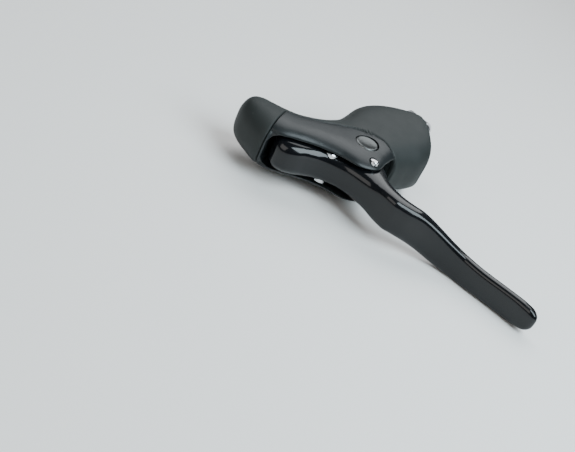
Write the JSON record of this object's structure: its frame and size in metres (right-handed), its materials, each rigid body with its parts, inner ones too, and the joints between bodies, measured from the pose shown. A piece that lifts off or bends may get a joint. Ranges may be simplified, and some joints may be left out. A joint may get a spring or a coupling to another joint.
{
  "type": "drop-bar brake lever",
  "caption": "Brake lever for a drop handlebar: curved gloss blade in a rubber-hooded bracket, with release pin, cable anchor, return spring and bar clamp band.",
  "frame": {"origin": "middle of the footprint, on the surface that the lever lies on", "axes": "+X along the blade from its tip to its head, +Y forward away from the handlebar, +Z across the lever, up while it lies on its side"},
  "size_m": [0.143, 0.0824, 0.0298],
  "materials": {
    "body_resin": "semi-matt black glass-filled resin",
    "hood_rubber": "matt black rubber with a fine grain",
    "blade_black": "gloss black over alloy",
    "axle_steel": "dark brushed face with a polished rim",
    "pin_steel": "polished",
    "spring_steel": "drawn wire",
    "bush_bronze": "sintered bronze",
    "nylon": "natural nylon",
    "band_stainless": "satin stainless strip",
    "nut_steel": "plain steel",
    "bolt_black": "black oxide",
    "ferrule_alloy": "turned alloy",
    "guide_plastic": "black acetal",
    "ring_rubber": "soft black rubber"
  },
  "bodies": {
    "bracket": {"bracket_body": "body_resin", "rubber_hood": "hood_rubber", "pivot_axle": "axle_steel", "pivot_screw": "axle_steel", "spring_sleeve": "nylon", "thrust_washer_left": "nylon", "thrust_washer_right": "nylon", "return_spring": "spring_steel", "clamp_bolt": "bolt_black", "clamp_washer": "nut_steel", "housing_stop": "ferrule_alloy", "cable_guide": "guide_plastic"},
    "blade": {"lever_blade": "blade_black", "pivot_bush_left": "bush_bronze", "pivot_bush_right": "bush_bronze"},
    "anchor": {"cable_anchor": "pin_steel"},
    "release": {"release_pin": "pin_steel", "release_ring": "ring_rubber"},
    "clamp": {"clamp_band": "band_stainless", "clamp_nut": "nut_steel"}
  },
  "joints": [
    {"name": "blade_pull", "type": "hinge", "parent": "bracket", "child": "blade", "pos_m": [0.0198, 0.01417, 0.0149], "axis": [0, 0, 1], "range_deg": [0, 24], "stiffness_Nm_per_rad": 0.25, "springref_deg": -34.38, "deforming": ["return_spring"]},
    {"name": "anchor_turn", "type": "hinge", "parent": "blade", "child": "anchor", "pos_m": [0.0294, 0.02717, 0.0149], "axis": [0, 0, 1], "range_deg": [-30, 30]},
    {"name": "release_push", "type": "slide", "parent": "bracket", "child": "release", "axis": [0, 0, -1], "range_m": [0, 0.002]},
    {"name": "clamp_draw", "type": "slide", "parent": "bracket", "child": "clamp", "axis": [0.342, 0.9397, 0], "range_m": [0, 0.0012]}
  ]
}
